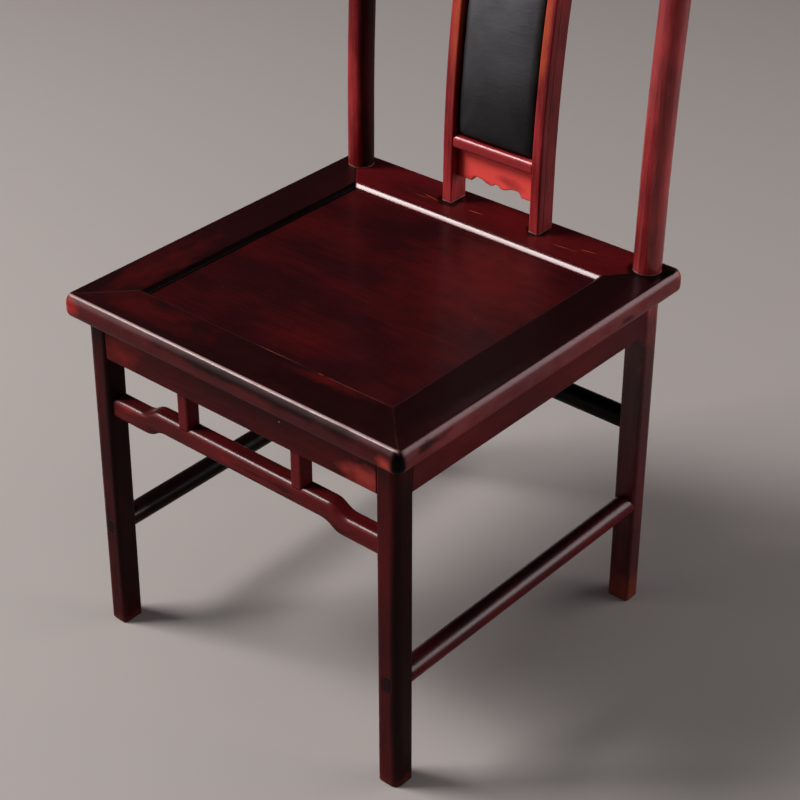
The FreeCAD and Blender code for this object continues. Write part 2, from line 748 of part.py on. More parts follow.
def splat_stile():
    """Right-hand stile up to the crest rail, with a bead line on its outer face."""
    rounds = [stile_round] * 4
    section = rounded_section(stile_inner_face, stile_outer_face, stile_front, stile_front + stile_depth,
                              seat_height, rounds)
    bead_y = stile_front + stile_bead_place
    bead = polygon([Vector(stile_outer_face + stile_bead_depth, bead_y, seat_height),
                    Vector(stile_outer_face - stile_bead_depth, bead_y + stile_bead_width / 2, seat_height),
                    Vector(stile_outer_face + stile_bead_depth, bead_y + stile_bead_width, seat_height)])
    section = section.cut(bead.extrude(Vector(0, 0, overrun)))
    return biggest(swept_up_splat(section.Faces[0]).cut(crest_right_cutter))


def stile_head():
    """Tenon of the right-hand stile in the crest rail."""
    return centred_box(stile_x, splat_y(crest_mid_bottom) + stile_depth / 2, crest_mid_bottom,
                       stile_tenon_width, stile_tenon_depth, stile_head_reach * 2)


def splat_rail(z, height):
    """Rail between the stiles with a rounded nose, and the bar whose ends are its tenons."""
    front = splat_y(z + splat_rail_height / 2) + splat_rail_setback
    rear = front + splat_rail_depth
    rail = box(-stile_inner_face, stile_inner_face, front, rear, z, z + height)
    rail = rail.makeFillet(splat_rail_nose, long_edges(rail, 0, lambda p: p.y < front + joint_clearance))
    rail = rail.makeFillet(splat_rail_back_round,
                           long_edges(rail, 0, lambda p: p.y > rear - joint_clearance))
    tenon = centred_box(0, front + splat_rail_depth / 2, z + splat_rail_height / 2,
                        (stile_inner_face + splat_rail_tenon_reach) * 2,
                        splat_rail_tenon_depth, splat_rail_tenon_height)
    return rail, tenon


def carved_outline():
    """Thick block with the cloud outline of the small apron under the lower rail of the splat."""
    half = groove_bottom_x - groove_clearance
    right = [(x * stile_inner_face, lower_rail_z - depth * carved_apron_depth)
             for x, depth in carved_outline_shares]
    right[-1] = (half, right[-1][1])
    left = [(-x, z) for x, z in reversed(right[1:])]
    top = lower_rail_z + overrun
    outline = [Vector(x, 0, z) for x, z in left + right + [(half, top), (-half, top)]]
    return polygon(outline).extrude(Vector(0, half_depth * 2, 0))


def pad_wire(z, thickness_share, width_share, back, skin):
    """Outline of the padded panel at one height, or of the space one skin inside it.

    It has a flat back, short sides, rolled shoulders and a flat crown. The back is given behind
    the front of the board.
    """
    board_front = splat_y(z) + groove_setback
    seat = board_front - soft_clearance + skin
    edge = seat - pad_edge_thickness * thickness_share
    shoulder = seat - pad_shoulder_thickness * thickness_share
    crown = seat - pad_crown_thickness * thickness_share
    side = (stile_inner_face - pad_side_gap) * width_share - skin
    inner = side - pad_shoulder_width
    bulge_share = math.sqrt(0.5)
    roll_x = inner + pad_shoulder_width * bulge_share
    roll = edge + (shoulder - edge) * bulge_share
    rear = board_front + back
    a, b, c, d, e = (Vector(side, rear, z), Vector(side, edge, z), Vector(roll_x, roll, z),
                     Vector(inner, shoulder, z), Vector(0, crown, z))
    f, g, h, i = (Vector(-p.x, p.y, z) for p in (d, c, b, a))
    edges = [Part.LineSegment(i, a), Part.LineSegment(a, b), Part.Arc(b, c, d), Part.Arc(d, e, f),
             Part.Arc(f, g, h), Part.LineSegment(h, i)]
    return Part.Wire([edge.toShape() for edge in edges])


def pad_loft(end_skin, back, skin):
    """The padded panel, or the space inside it, between the rails of the splat."""
    low = lower_rail_z + splat_rail_height + pad_end_gap + end_skin
    high = upper_rail_z - pad_end_gap - end_skin
    wires = [pad_wire(low + (high - low) * along, thickness, width, back, skin)
             for along, thickness, width in pad_station_shares]
    return Part.makeLoft(wires, True, False)


def front_bars():
    """Humpback stretcher and its two struts, and the cutters for its mortises in the legs."""
    bar = humpback_bar()
    tenons = both_sides(humpback_tenon())
    strut_holes = [grown(tenon, joint_clearance) for tenon in both_sides(strut_tenons()[0])]
    right_strut = strut(bar)
    pieces = {
        "humpback_stretcher": bar.cut(leg_blanks).fuse(tenons).cut(strut_holes).removeSplitter(),
        "strut_right": right_strut,
        "strut_left": mirrored(right_strut),
    }
    return pieces, [grown(tenon, joint_clearance) for tenon in tenons]


def round_stretchers():
    """The three round stretchers, and the cutters for their mortises in the legs."""
    bar, tenon = side_stretcher()
    right = bar.cut(leg_blanks).fuse(tenon.common(leg_blanks)).removeSplitter()
    side_holes = both_sides(grown(tenon, joint_clearance))
    bar, tenon = rear_stretcher()
    rear = bar.cut(leg_blanks).fuse(tenon.common(leg_blanks)).removeSplitter()
    pieces = {"side_stretcher_right": right, "side_stretcher_left": mirrored(right), "rear_stretcher": rear}
    return pieces, side_holes + [grown(tenon, joint_clearance)]


def post_top(clearance):
    """Round tenon of the right-hand back post in the crest rail, or the cutter for its mortise."""
    low = crest_post_z - crest_post_height
    high = crest_post_z - crest_post_height / 2 + post_tenon_reach + clearance
    pin = swept_up_post(disc(leg_x, rear_leg_y, seat_height, post_tenon_diameter + clearance * 2))
    return pin.common(height_band(low, high))


def legs(mortises):
    """Front legs, and rear legs that run through the frame and on upwards as back posts."""
    cutter = Part.makeCompound(mortises)
    post = swept_up_post(disc(leg_x, rear_leg_y, seat_height, post_diameter)).cut(crest_right_cutter)
    front_leg = front_leg_blank.fuse(leg_top_tenon())
    rear_leg = rear_leg_blank.fuse([post_neck(), biggest(post), post_top(0)])
    pieces = {}
    for name, leg in (("front_leg_", front_leg), ("rear_post_", rear_leg)):
        right = leg.cut(cutter).removeSplitter()
        pieces[name + "right"] = right
        pieces[name + "left"] = mirrored(right)
    return pieces


def splat():
    """Stiles, rails, board and carved apron of the splat."""
    low_rail, low_tenon = splat_rail(lower_rail_z, splat_rail_height)
    high_rail, high_tenon = splat_rail(upper_rail_z, splat_rail_height + crest_mid_height / 2)
    high_rail = biggest(high_rail.cut(crest_cutter))
    groove = splat_slab(groove_setback - groove_clearance, board_thickness + groove_clearance * 2,
                        groove_bottom_x)
    groove = groove.common(height_band(lower_rail_z - carved_apron_depth, upper_rail_z))
    cutter = Part.makeCompound(
        [groove, grown(low_tenon, joint_clearance), grown(high_tenon, joint_clearance)])
    stile = splat_stile().fuse([stile_foot(), stile_head()]).cut(cutter).removeSplitter()
    slab = splat_slab(groove_setback, board_thickness, groove_bottom_x - groove_clearance)
    board = slab.common(height_band(lower_rail_z + splat_rail_height, upper_rail_z))
    small_apron = slab.common(carved_outline()).common(height_band(0, lower_rail_z))
    return {
        "splat_rail_lower": low_rail.fuse(low_tenon).removeSplitter(),
        "splat_rail_upper": high_rail.fuse(high_tenon).removeSplitter(),
        "splat_stile_right": stile,
        "splat_stile_left": mirrored(stile),
        "splat_apron": small_apron.removeSplitter(),
        "back_board": board.removeSplitter(),
    }


def back_pad():
    """Leather cover, open towards the board, and the foam inside it."""
    foam_skin = leather_thickness + soft_clearance
    cover = pad_loft(0, -soft_clearance, 0)
    hollow = pad_loft(leather_thickness, leather_thickness, leather_thickness)
    foam = pad_loft(foam_skin, -soft_clearance, foam_skin)
    return {"back_pad_leather": cover.cut(hollow), "back_pad_foam": foam}


def crest_rail():
    holes = both_sides(post_top(joint_clearance)) + both_sides(grown(stile_head(), joint_clearance))
    return crest_blank.cut(Part.makeCompound(holes)).removeSplitter()


def build():
    nodes = seat_rails()
    nodes["seat_panel"] = seat_panel()
    nodes["seat_batten_right"] = seat_batten()
    nodes["seat_batten_left"] = mirrored(nodes["seat_batten_right"])
    apron_pieces, mortises = aprons()
    nodes.update(apron_pieces)
    for pieces, holes in (front_bars(), round_stretchers()):
        nodes.update(pieces)
        mortises += holes
    nodes.update(legs(mortises))
    nodes.update(splat())
    nodes.update(back_pad())
    nodes["crest_rail"] = crest_rail()
    return nodes


def main():
    os.makedirs("parts", exist_ok=True)
    nodes = build()
    whole = Part.makeCompound(list(nodes.values())).optimalBoundingBox(False, False)
    to_middle = Vector(0, -(whole.YMin + whole.YMax) / 2, 0)
    for name, shape in sorted(nodes.items()):
        shape.translate(to_middle)
        print("%-22s solids %d valid %s volume %.0f" % (
            name, len(shape.Solids), shape.isValid(), shape.Volume))
        shape.exportStep("parts/%s.step" % name)
    print("size %.1f x %.1f x %.1f, moved by %.2f along Y" % (
        whole.XLength, whole.YLength, whole.ZLength, to_middle.y))


main()
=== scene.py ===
import bpy
import bmesh
import math
from mathutils import Matrix, Vector
from mathutils.bvhtree import BVHTree


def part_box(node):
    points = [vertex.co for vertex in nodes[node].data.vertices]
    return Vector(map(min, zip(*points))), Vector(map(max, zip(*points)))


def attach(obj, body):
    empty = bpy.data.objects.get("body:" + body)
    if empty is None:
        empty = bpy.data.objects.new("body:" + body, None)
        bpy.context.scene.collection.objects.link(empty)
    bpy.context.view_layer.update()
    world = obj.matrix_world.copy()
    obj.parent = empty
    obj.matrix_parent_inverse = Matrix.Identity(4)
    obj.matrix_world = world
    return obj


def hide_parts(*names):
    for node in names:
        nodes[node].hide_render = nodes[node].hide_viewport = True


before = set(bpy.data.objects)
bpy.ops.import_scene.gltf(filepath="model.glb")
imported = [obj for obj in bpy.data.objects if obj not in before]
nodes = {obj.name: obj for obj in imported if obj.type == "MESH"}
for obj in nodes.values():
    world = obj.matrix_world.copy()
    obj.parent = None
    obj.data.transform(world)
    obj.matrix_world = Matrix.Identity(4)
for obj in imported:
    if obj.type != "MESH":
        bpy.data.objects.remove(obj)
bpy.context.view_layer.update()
scene = bpy.context.scene
print("frame loaded:", len(nodes), "pieces of the chair")

# An armless official hat chair: red stained rosewood under a satin lacquer, and a black leather
# pad in the splat. Everything is in metres, the chair stands on z = 0 and its front looks along -Y.
mm = 0.001


def linear(hexColour):
    # sRGB hex to the linear values that shaders take
    channels = [int(hexColour[i:i + 2], 16) / 255 for i in (1, 3, 5)]
    return [c / 12.92 if c <= 0.04045 else ((c + 0.055) / 1.055) ** 2.4 for c in channels] + [1.0]


def perMetre(sizeInMm):
    return 1 / (sizeInMm * mm)  # a pattern of this scale has features of that size


def setNode(tree, node, entries):
    # an entry is a setting of the node, a socket's value, or what feeds the socket: a socket of
    # another node, or that node itself, which then gives its first output
    for key, value in entries.items():
        if isinstance(value, bpy.types.Node):
            value = value.outputs[0]
        if isinstance(value, bpy.types.NodeSocket):
            tree.links.new(value, node.inputs[key])
        elif isinstance(key, str) and hasattr(node, key):
            setattr(node, key, value)
        else:
            node.inputs[key].default_value = value
    return node


def addNode(tree, kind, entries=None):
    return setNode(tree, tree.nodes.new("ShaderNode" + kind), entries or {})


def fillRamp(ramp, stops):
    # each stop is a position along the ramp and its colour
    ramp.elements.remove(ramp.elements[1])
    for index, (position, colour) in enumerate(stops):
        element = ramp.elements.new(position) if index else ramp.elements[0]
        element.position = position
        element.color = linear(colour)


# camera, at the photograph's angle
cameraLook = {
    "location": (1.20811, -1.40072, 1.46477),
    "azimuth": 42.875,       # degrees
    "elevation": 33.243,
    "roll": -1.113,
    "lens": 85.82,           # mm
    "shiftX": 0.0926,        # shares of the picture's width
    "shiftY": 0.0332,
}


def makeCamera(look):
    a, e, r = (math.radians(look[key]) for key in ("azimuth", "elevation", "roll"))
    back = Vector((math.sin(a) * math.cos(e), -math.cos(a) * math.cos(e), math.sin(e)))
    level = Vector((math.cos(a), math.sin(a), 0))
    upright = back.cross(level)
    right = level * math.cos(r) + upright * math.sin(r)
    up = upright * math.cos(r) - level * math.sin(r)
    data = bpy.data.cameras.new("camera")
    data.lens = look["lens"]
    data.shift_x = look["shiftX"]
    data.shift_y = look["shiftY"]
    camera = bpy.data.objects.new("camera", data)
    camera.matrix_world = Matrix((
        (right.x, up.x, back.x, look["location"][0]),
        (right.y, up.y, back.y, look["location"][1]),
        (right.z, up.z, back.z, look["location"][2]),
        (0, 0, 0, 1)))
    scene.collection.objects.link(camera)
    scene.camera = camera


makeCamera(cameraLook)
print("camera placed")

# studio: pale floor, a dim room and soft lamps
studio = {
    "floorSize": 14.0,
    "floorColour": "#a9a6a3",
    "floorRoughness": 0.8,
    "floorShine": 0.2,
    "room": ((0.05, "#8f8d8b"), (0.3, "#202022")),  # colour by how far up one looks
    "roomStrength": 0.4,
}
lamps = {
    # name: place, aimed at, width, height, watts, colour
    "keyLamp": ((-2.48, -1.78, 3.55), (0, 0, 0.45), 1.6, 1.6, 210, "#fff7f5"),
    "lowLamp": ((-2.75, -2.9, 1.35), (0, 0, 0.6), 2.6, 2.2, 31, "#fff6f4"),
    "rimLamp": ((2.2, 1.9, 1.15), (0.2, 0, 0.45), 2.4, 1.6, 38, "#fff0f3"),
    "topLamp": ((0.4, -0.4, 3.6), (0, 0, 0.3), 2.4, 2.4, 10, "#ffffff"),
}


def makeFloor(look):
    form = bmesh.new()
    bmesh.ops.create_grid(form, x_segments=1, y_segments=1, size=look["floorSize"] / 2)
    mesh = bpy.data.meshes.new("floor")
    form.to_mesh(mesh)
    form.free()
    floor = bpy.data.objects.new("floor", mesh)
    scene.collection.objects.link(floor)
    material = bpy.data.materials.new("paleMattFloor")  # plain matt studio floor
    material.use_nodes = True
    setNode(material.node_tree, material.node_tree.nodes["Principled BSDF"], {
        "Base Color": linear(look["floorColour"]), "Roughness": look["floorRoughness"],
        "Specular IOR Level": look["floorShine"]})
    mesh.materials.append(material)


def makeRoom(look):
    world = bpy.data.worlds.new("room")
    scene.world = world
    world.use_nodes = True
    tree = world.node_tree
    way = addNode(tree, "TexCoord").outputs["Generated"]
    upward = addNode(tree, "SeparateXYZ", {"Vector": way}).outputs["Z"]
    shade = addNode(tree, "ValToRGB", {"Fac": upward})
    fillRamp(shade.color_ramp, look["room"])
    setNode(tree, tree.nodes["Background"], {"Color": shade, "Strength": look["roomStrength"]})


def makeLamp(name, place, aim, width, height, watts, colour):
    data = bpy.data.lights.new(name, "AREA")
    data.shape = "RECTANGLE"
    data.size = width
    data.size_y = height
    data.energy = watts
    data.color = linear(colour)[:3]
    lamp = bpy.data.objects.new(name, data)
    lamp.location = place
    lamp.rotation_euler = (Vector(place) - Vector(aim)).to_track_quat("Z", "Y").to_euler()
    scene.collection.objects.link(lamp)


makeFloor(studio)
makeRoom(studio)
for lampName, lampLook in lamps.items():
    makeLamp(lampName, *lampLook)
scene.view_settings.view_transform = "Standard"
print("studio lit")

# wood: rosewood, hand planed, rubbed with a red stain and brushed with a satin lacquer. To the eye
# it is nearly black on the broad tops and in the pores, and clear red where the stain was wiped
# thin; the lacquer is whole on rounded edges, thinner on flat tops and worn dull on upright faces.
rosewood = {
    # each colour of the stain and the tone at which it is pure
    "stain": ((0.05, "#0d0304"), (0.32, "#270608"), (0.62, "#6a1014"), (1.0, "#cf4145")),
    "rubbed": "#8e3822",
    # near black: grime in the pores, grime with painted shade in the corners
    "grimeAndShade": "#080303",
    # pale pink dust on the sides, partly a painted sheen
    "dustAndSheen": "#8c5c5f",
    "speck": "#9a7a6c",
    "ior": 1.47,
    "underShine": 0.06,      # the stained wood under the lacquer shines very little
    "coatRoughness": 0.24,
    "logStep": (0.37, 0.23, 0.31),   # metres in the log from one board's place to the next's
    "patterns": {
        # name: size in mm, stretch along the grain, detail
        "blotch": (62, 1.8, 4.0),    # blotches in the stain
        "streak": (2.6, 24, 4.0),    # growth rings across the grain
        "pore": (0.8, 16, 2.0),      # drawn coarser than real pores so that they show
        "wave": (40, 3.0, 2.0),      # waviness left by the plane
        "patch": (15, 2.0, 3.0),     # patches of wear
    },
    "patternMiddle": 0.5,    # the level that a pattern swings around
    "toneShares": {"blotch": 0.28, "streak": 0.15},  # how far they push the tone up and down
    # upward part of the normal: where a side turns into a top, a rounded nose and a flat top
    "top": {"From Min": 0.6, "From Max": 0.98},
    "noseCoat": {"From Min": 0.28, "From Max": 0.72, "To Max": 1.0},
    "flatCoat": {"From Min": 0.92, "From Max": 1.0, "To Min": 1.0, "To Max": 0.62},
    # pores are short dark dashes along the grain
    "poreDashes": {"From Min": 0.60, "From Max": 0.70, "To Max": 0.5},
    "poreBare": 0.5,         # share of the lacquer that is gone over them
    # wear falls off from an edge inwards, a board's own wear adds to it, and patches break it up
    "edge": {"inside": True, "only_local": True, "samples": 6, "Distance": 3.5 * mm},
    "wearLevel": 1.02,
    "wearFall": 1.25,
    "wearOfBoard": 0.32,
    "wornPatches": {"From Min": 0.22, "From Max": 0.55, "To Max": 0.55},
    "dustAndSheenPatches": {"From Min": 0.35, "From Max": 0.65, "To Min": 0.35},
    "speckSpacing": 36,      # mm between the places where a speck may be
    "speckSpot": {"From Min": 0.014, "From Max": 0.022, "To Min": 1.0, "To Max": 0.0},
    "speckLot": {"From Min": 0.55, "From Max": 0.56, "To Max": 0.75},  # under half have one
    "markRag": 2.4,          # how far the patches push a ragged mark's rim in and out
    "corner": {"samples": 6, "Distance": 6 * mm},    # how far grime and painted shade reach out of a corner
    "cornerGrimeAndShade": {"From Min": 0.25, "From Max": 0.75, "To Min": 0.9, "To Max": 0.0},
    "cornerBare": 1.0,       # share of the lacquer that is gone under it
    # roughness of the stained wood, from its smoother to its duller patches
    "dullPatches": {"From Min": 0.3, "From Max": 0.7, "To Min": 0.40, "To Max": 0.54},
    "softEdge": {"samples": 6, "Radius": 2.5 * mm},  # the lacquer rounds every arris a little
    "poreDepth": 0.12,       # shares of the fine relief
    "speckDepth": 1.0,
    "fineRelief": {"Strength": 0.15, "Distance": 0.1 * mm},  # of pores and chips
    "planeWaves": {"Strength": 0.5, "Distance": 0.7 * mm},
}
boards = {
    # name: grain axis, tone of its sides, tone of its top, edge wear, bloom of dust and painted
    # sheen on its sides, lacquer left on its sides, strength of its figure
    "seat_rail_front": ("X", 0.43, 0.23, 0.50, 0.04, 0.16, 1.0),
    "seat_rail_rear": ("X", 0.50, 0.45, 0.35, 0.0, 0.12, 1.0),
    "seat_rail_left": ("Y", 0.46, 0.21, 0.40, 0.0, 0.12, 0.8),
    # its light side tone stands in partly for a painted sheen
    "seat_rail_right": ("Y", 0.60, 0.15, 0.50, 0.34, 0.24, 1.1),
    "seat_panel": ("X", 0.34, 0.34, 0.10, 0.0, 0.10, 0.8),
    "seat_batten_left": ("Y", 0.40, 0.40, 0.10, 0.0, 0.05, 1.0),
    "seat_batten_right": ("Y", 0.40, 0.40, 0.10, 0.0, 0.05, 1.0),
    "front_leg_left": ("Z", 0.36, 0.36, 0.35, 0.0, 0.05, 1.4),
    "front_leg_right": ("Z", 0.41, 0.32, 0.30, 0.0, 0.09, 1.2),
    "rear_post_left": ("Z", 0.67, 0.67, 0.30, 0.0, 0.16, 2.0),
    "rear_post_right": ("Z", 0.73, 0.73, 0.30, 0.02, 0.85, 2.2),
    "apron_front": ("X", 0.42, 0.40, 0.25, 0.0, 0.07, 1.2),
    "apron_rear": ("X", 0.40, 0.36, 0.20, 0.0, 0.08, 1.0),
    "apron_left": ("Y", 0.40, 0.36, 0.20, 0.0, 0.08, 1.0),
    "apron_right": ("Y", 0.43, 0.40, 0.30, 0.08, 0.07, 1.4),
    "humpback_stretcher": ("X", 0.58, 0.40, 0.40, 0.04, 0.16, 3.0),
    "strut_left": ("Z", 0.52, 0.50, 0.40, 0.05, 0.10, 1.2),
    "strut_right": ("Z", 0.54, 0.50, 0.40, 0.05, 0.10, 1.2),
    "side_stretcher_left": ("Y", 0.26, 0.26, 0.30, 0.0, 0.05, 1.0),
    # its light side tone stands in partly for a painted sheen
    "side_stretcher_right": ("Y", 0.46, 0.34, 0.35, 0.06, 0.10, 1.4),
    "rear_stretcher": ("X", 0.22, 0.22, 0.20, 0.0, 0.05, 1.0),
    "splat_stile_left": ("Z", 0.76, 0.72, 0.45, 0.04, 0.25, 2.2),
    "splat_stile_right": ("Z", 0.77, 0.74, 0.45, 0.04, 0.25, 2.2),
    "splat_rail_lower": ("X", 0.80, 0.80, 0.40, 0.05, 0.30, 1.0),
    "splat_rail_upper": ("X", 0.72, 0.72, 0.30, 0.0, 0.25, 1.0),
    "splat_apron": ("X", 1.00, 0.95, 0.30, 0.0, 0.15, 2.2),
    "back_board": ("Z", 0.50, 0.50, 0.10, 0.0, 0.10, 1.0),
    "crest_rail": ("X", 0.68, 0.60, 0.40, 0.0, 0.40, 1.4),
}
markKinds = {
    # name: colour, share of the lacquer that is gone, share of its reach that is full
    # painted shade, near black and dull: in the left edge of the seat's opening, over the
    # stretchers under the seat, and with grime round the feet of the posts and stiles
    "soot": ("#040202", 1.0, 0.8),
    # dark and dull lacquer; on the left back post it is painted shade down the post's right side
    "dull": ("#150506", 0.9, 0.75),
    # painted shade at the front right corner of the seat
    "burnt": ("#050303", 1.0, 0.62),
    # painted shade: on faces turned from the lamps, on the posts under the seat and along the
    # humpback stretcher's lower edge
    "shade": ("#1a0607", 0.5, 0.7),
    # dark patches that dull the lacquer: tenon ends, smudges, a streak and a band under the front
    # arris
    "smoke": ("#140708", 0.6, 0.35),
    "red": ("#98241e", 0.2, 0.1),
    "flame": ("#c22e28", 0.2, 0.3),
    # bright scarlet, partly painted light that makes up for the shade of a rail above
    "scarlet": ("#ff5a52", 0.0, 0.8),
    "orange": ("#b8542c", 0.3, 0.35),
    "ember": ("#b04038", 0.2, 0.2),
    "brown": ("#6c3020", 0.5, 0.35),
    "wine": ("#5c1112", 0.0, 0.1),
    "hair": ("#a5604a", 0.3, 0.35),
    "chalk": ("#bfa497", 1.0, 0.35),
    "grey": ("#7a6462", 0.4, 0.35),
    "thin": ("#4a1214", 1.0, 0.7),
    # painted highlight: a pale band along an arris that widens the lacquer's own highlight
    "paleArris": ("#d3b2af", 0.0, 0.3),
    # painted sheen: a pink band with its lacquer mostly gone, standing in partly for a highlight
    "rose": ("#7c3236", 0.9, 0.6),
}
marks = {
    # board: for each mark its kind, middle and reach in mm, turn in degrees, strength, raggedness
    "seat_rail_front": [
        ("wine", (-150, -222, 450), (110, 28, 5), 0, 0.35, 0.9),
        ("dull", (140, -226, 451), (110, 34, 4), 0, 0.5, 0.7),
        ("flame", (-233, -253, 437), (26, 10, 14), 0, 0.75, 0.5),
        # darker band along the front nose under its arris
        ("smoke", (60, -257, 443.5), (215, 9, 9), 0, 0.85, 0.5),
        ("ember", (223, -257, 431), (11, 9, 12), 0, 0.85, 0.8),
        # painted shade at the front right corner
        ("burnt", (242, -258, 438), (13, 13, 30), 0, 1.0, 0.25),
        ("hair", (27, -197.2, 450), (42, 0.7, 2.5), 1.0, 0.9, 0.5),
        ("hair", (138, -197.2, 450), (44, 0.8, 2.5), 1.0, 0.9, 1.0),
        ("orange", (86, -197.5, 450), (5, 1.6, 3), 8, 0.7, 0.9),
        ("wine", (104, -203, 450), (62, 11, 5), 4, 0.5, 0.8),
        ("hair", (203, -216, 450), (24, 0.5, 2), -47, 0.6, 0.9),
        # painted highlight along the front arris
        ("paleArris", (0, -253.8, 449.6), (700, 2.2, 2.2), 0, 0.6, 0.05),
    ],
    "seat_rail_right": [
        # painted shade at the front right corner
        ("burnt", (242, -258, 438), (13, 13, 30), 0, 1.0, 0.25),
        ("dull", (198, -20, 452), (42, 330, 4.5), 0, 0.75, 0.1),
        # painted shade with grime round the foot of the back post
        ("soot", (214, 201, 450), (27, 27, 3), 0, 0.8, 0.5),
        ("orange", (238, 224, 442), (7, 12, 11), 0, 0.7, 0.6),
        ("smoke", (240, -206, 441), (5, 34, 5), 0, 0.8, 1.0),
        ("smoke", (242, 122, 434), (5, 14, 5), 0, 0.7, 1.0),
    ],
    "seat_rail_left": [
        ("wine", (-208, -150, 450), (28, 110, 5), 0, 0.35, 0.9),
        ("flame", (-239, -249, 437), (10, 12, 13), 0, 0.7, 0.5),
        # painted shade in the left edge of the opening
        ("soot", (-177, -20, 448), (4.6, 900, 9), 0, 0.95, 0.2),
    ],
    "seat_panel": [
        # painted shade in the left edge of the opening
        ("soot", (-177, -20, 444), (2.4, 900, 9), 0, 0.9, 0.3),
        ("wine", (90, 60, 444), (130, 110, 9), 0, 0.5, 0.5),
    ],
    "seat_rail_rear": [
        # painted pink sheen along the back bevel of the opening, its lacquer dulled
        ("rose", (0, 148, 447), (300, 6.5, 8), 0, 0.66, 0.1),
        # painted shade with grime round the feet of the stiles and the back post
        ("soot", (-63, 192, 450), (17, 15, 3), 0, 0.75, 0.7),
        ("soot", (63, 192, 450), (17, 15, 3), 0, 0.75, 0.7),
        ("soot", (214, 201, 450), (27, 27, 3), 0, 0.8, 0.5),
        ("orange", (-98, 178, 450), (17, 0.7, 2), 6, 0.9, 0.8),
        ("orange", (-86, 183, 450), (15, 0.8, 2), -8, 0.8, 0.9),
        ("orange", (-20, 186, 450), (9, 0.6, 2), 4, 0.8, 0.9),
        ("hair", (112, 182, 450), (19, 0.6, 2), 5, 0.8, 0.9),
        ("hair", (138, 192, 450), (14, 0.6, 2), 12, 0.7, 0.9),
    ],
    "apron_front": [
        ("ember", (184, -241, 389), (36, 6, 20), 0, 0.85, 0.9),
        ("grey", (200.5, -241, 398), (1.3, 2, 24), 0, 0.7, 0.5),
        ("red", (-180, -241, 400), (46, 8, 34), 0, 0.35, 0.9),
        ("chalk", (66, -241, 405), (1.3, 2, 1.3), 0, 0.9, 0.0),
    ],
    "front_leg_right": [
        # painted shade down the leg's right face
        ("shade", (232, -230, 210), (16, 60, 300), 0, 0.9, 0.1),
        ("grey", (204, -244, 426), (9, 6, 15), 0, 0.45, 0.8),
        ("smoke", (213, -245, 140), (11, 5, 16), 0, 0.92, 0.2),
        ("brown", (214, -232, 0), (90, 90, 14), 0, 0.35, 0.9),
    ],
    "front_leg_left": [
        # painted shade down the leg's inner right face
        ("shade", (-196, -230, 210), (12, 60, 300), 0, 0.8, 0.1),
        ("smoke", (-213, -245, 140), (11, 5, 16), 0, 0.6, 0.2),
        ("brown", (-214, -232, 0), (90, 90, 10), 0, 0.3, 0.9),
    ],
    "rear_post_right": [
        # painted shade on the leg under the seat
        ("shade", (214, 201, 190), (60, 60, 250), 0, 0.82, 0.25),
        ("brown", (214, 201, 0), (120, 120, 42), 0, 0.85, 1.0),
        ("chalk", (214, 201, 450.6), (200, 200, 2.0), 0, 0.7, 1.1),
    ],
    "rear_post_left": [
        # painted shade down the right side of the post
        ("dull", (-184, 215, 640), (23, 90, 440), 0, 0.9, 0.1),
        # painted shade on the leg under the seat
        ("shade", (-214, 201, 190), (60, 60, 250), 0, 0.8, 0.25),
        ("brown", (-214, 201, 0), (120, 120, 34), 0, 0.6, 1.0),
        ("chalk", (-214, 201, 450.6), (200, 200, 1.2), 0, 0.5, 1.2),
    ],
    "splat_stile_left": [
        ("chalk", (-63, 192, 450.6), (60, 60, 1.2), 0, 0.9, 1.2),
        ("orange", (-60, 202, 700), (9, 60, 120), 0, 0.5, 0.6),
    ],
    "splat_stile_right": [
        ("chalk", (63, 192, 450.6), (60, 60, 1.2), 0, 0.85, 1.3),
        # painted shade down the stile's right side
        ("shade", (73, 225, 700), (9, 100, 420), 0, 0.5, 0.1),
        ("orange", (59, 207, 690), (8, 60, 80), 0, 0.7, 0.5),
    ],
    "splat_apron": [
        # the carved apron painted brighter, partly to make up for the shade of the rail above it
        ("scarlet", (0, 190, 502), (120, 30, 60), 0, 0.82, 0.4),
        ("wine", (24, 190, 494), (30, 30, 9), 0, 0.5, 1.0),
        ("wine", (-30, 190, 484), (34, 30, 8), 0, 0.6, 0.8),
    ],
    "side_stretcher_left": [
        # painted shade over the stretcher under the seat
        ("soot", (-214, -20, 140), (60, 214, 60), 0, 0.85, 0.1),
        ("smoke", (-214, -250, 140), (30, 26, 30), 0, 0.5, 0.1),
    ],
    "rear_stretcher": [
        # painted shade over the stretcher under the seat
        ("soot", (0, 201, 250), (600, 60, 60), 0, 0.85, 0.1),
    ],
    "humpback_stretcher": [
        ("thin", (0, -225, 326), (280, 60, 60), 0, 0.45, 0.3),
        # painted shade along the stretcher's lower edge
        ("shade", (0, -238, 305), (160, 6, 8), 0, 0.5, 0.8),
        ("smoke", (45, -238, 320), (85, 4, 3), 0, 0.5, 1.0),
        ("red", (-170, -238, 322), (26, 4, 10), 0, 0.7, 0.7),
        ("wine", (172, -238, 318), (30, 4, 10), 0, 0.5, 0.9),
    ],
    "side_stretcher_right": [
        ("brown", (214, -158, 146), (12, 14, 6), 0, 0.6, 0.7),
        ("smoke", (214, -250, 140), (30, 26, 30), 0, 0.9, 0.1),
    ],
}


def grainPatterns(tree, look, coords, grain, place):
    # the board's own stretch of each pattern, drawn out along its grain
    patterns = {}
    for pattern, (size, stretch, detail) in look["patterns"].items():
        scale = [1.0, 1.0, 1.0]
        scale["XYZ".index(grain)] = 1 / stretch
        along = addNode(tree, "Mapping", {"Vector": coords, "Location": place, "Scale": scale})
        patterns[pattern] = addNode(tree, "TexNoise", {
            "Vector": along, "Scale": perMetre(size), "Detail": detail})
    return patterns


